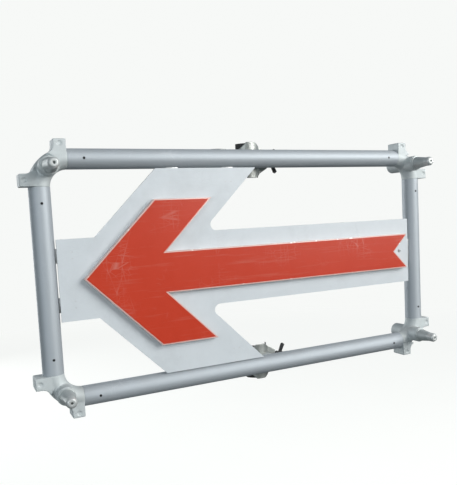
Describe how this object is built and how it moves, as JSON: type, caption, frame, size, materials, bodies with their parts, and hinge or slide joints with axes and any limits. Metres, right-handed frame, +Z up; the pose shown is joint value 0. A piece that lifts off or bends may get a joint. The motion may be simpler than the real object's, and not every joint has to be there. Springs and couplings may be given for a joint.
{
  "type": "framed arrow board",
  "caption": "Framed LED arrow board: a flat arrow light on a reflective board in a tube frame, with stacking pins at the corners and hinged pole clamps behind.",
  "frame": {"origin": "the pole's axis at the middle of the lower clamp", "axes": "+Z up along the pole, +X to the right seen from the front, the arrow's face towards -Y"},
  "size_m": [0.9316, 0.2033, 0.514],
  "materials": {
    "tube": "satin anodised",
    "casting": "matt cast, light grey",
    "pin": "fine turned",
    "bracket": "mill finish",
    "fixing": "plain steel",
    "board": "mill finish sheet",
    "sheet": "silver-white reflective sheeting",
    "tray": "white powder coat",
    "seal": "matt foam rubber",
    "face": "white translucent acrylic",
    "film": "red-orange translucent sheeting",
    "circuit": "solder-masked circuit board",
    "led": "clear lens",
    "box": "moulded light grey",
    "latch": "pressed steel",
    "zinc": "zinc plated",
    "cell": "plain dark jacket",
    "contact": "nickel plated",
    "sensor": "smoked clear dome",
    "cable": "black jacket",
    "seat": "cast",
    "clamp": "galvanised pressed steel",
    "liner": "black rubber",
    "wing": "black"
  },
  "bodies": {
    "frame": {"arrow_face_plate": "face", "arrow_film": "film", "arrow_screws": "fixing", "arrow_tray": "tray", "battery_case": "box", "battery_cells": "cell", "battery_contacts": "contact", "board_plate": "board", "box_screws": "fixing", "bracket_rivets": "fixing", "cable_grommet": "seal", "control_board": "circuit", "corner_bottom_left": "casting", "corner_bottom_right": "casting", "corner_top_left": "casting", "corner_top_right": "casting", "end_screw": "fixing", "latch_pin": "zinc", "led_cable": "cable", "led_strips": "circuit", "leds": "led", "lid_gasket": "seal", "lid_hinge_pins": "zinc", "lower_bolt_pin": "zinc", "lower_clamp_bolt": "zinc", "lower_clamp_liner": "liner", "lower_clamp_saddle": "clamp", "lower_clamp_seat": "seat", "lower_cover_pin": "zinc", "photo_sensor": "sensor", "pin_screws": "fixing", "rail_bottom": "tube", "rail_brackets": "bracket", "rail_top": "tube", "reflective_sheet": "sheet", "stacking_pin_bottom_left": "pin", "stacking_pin_bottom_right": "pin", "stacking_pin_top_left": "pin", "stacking_pin_top_right": "pin", "stile_brackets": "bracket", "stile_left": "tube", "stile_right": "tube", "switch_bush": "zinc", "tray_seal": "seal", "tube_screws": "fixing", "upper_bolt_pin": "zinc", "upper_clamp_bolt": "zinc", "upper_clamp_liner": "liner", "upper_clamp_saddle": "clamp", "upper_clamp_seat": "seat", "upper_cover_pin": "zinc"},
    "lower_cover": {"lower_cover": "clamp"},
    "upper_cover": {"upper_cover": "clamp"},
    "lower_swing_bolt": {"lower_swing_bolt": "zinc"},
    "upper_swing_bolt": {"upper_swing_bolt": "zinc"},
    "lower_wing_nut": {"lower_wing_nut": "wing"},
    "upper_wing_nut": {"upper_wing_nut": "wing"},
    "battery_lid": {"battery_lid": "box"},
    "lid_latch": {"lid_latch": "latch"},
    "switch_lever": {"switch_lever": "zinc"}
  },
  "joints": [
    {"name": "lower_cover_hinge", "type": "hinge", "parent": "frame", "child": "lower_cover", "pos_m": [-0.036, -0.003, 0], "axis": [0, 0, 1], "range_deg": [-120, 0]},
    {"name": "lower_bolt_swing", "type": "hinge", "parent": "frame", "child": "lower_swing_bolt", "pos_m": [0.04, 0, 0], "axis": [0, 0, 1], "range_deg": [0, 90]},
    {"name": "lower_nut_spin", "type": "hinge", "parent": "lower_swing_bolt", "child": "lower_wing_nut", "pos_m": [0.06, 0, 0], "axis": [1, 0, 0], "continuous": true},
    {"name": "upper_cover_hinge", "type": "hinge", "parent": "frame", "child": "upper_cover", "pos_m": [-0.036, -0.003, 0.438], "axis": [0, 0, 1], "range_deg": [-120, 0]},
    {"name": "upper_bolt_swing", "type": "hinge", "parent": "frame", "child": "upper_swing_bolt", "pos_m": [0.04, 0, 0.438], "axis": [0, 0, 1], "range_deg": [0, 90]},
    {"name": "upper_nut_spin", "type": "hinge", "parent": "upper_swing_bolt", "child": "upper_wing_nut", "pos_m": [0.06, 0, 0.438], "axis": [1, 0, 0], "continuous": true},
    {"name": "lid_hinge", "type": "hinge", "parent": "frame", "child": "battery_lid", "pos_m": [0.153, -0.021, 0.2705], "axis": [1, 0, 0], "range_deg": [0, 100]},
    {"name": "latch_swing", "type": "hinge", "parent": "frame", "child": "lid_latch", "pos_m": [0.153, -0.031, 0.166], "axis": [1, 0, 0], "range_deg": [0, 90]},
    {"name": "power_switch", "type": "hinge", "parent": "frame", "child": "switch_lever", "pos_m": [0.2564, -0.041, 0.219], "axis": [0, 1, 0], "range_deg": [-24, 0]}
  ]
}
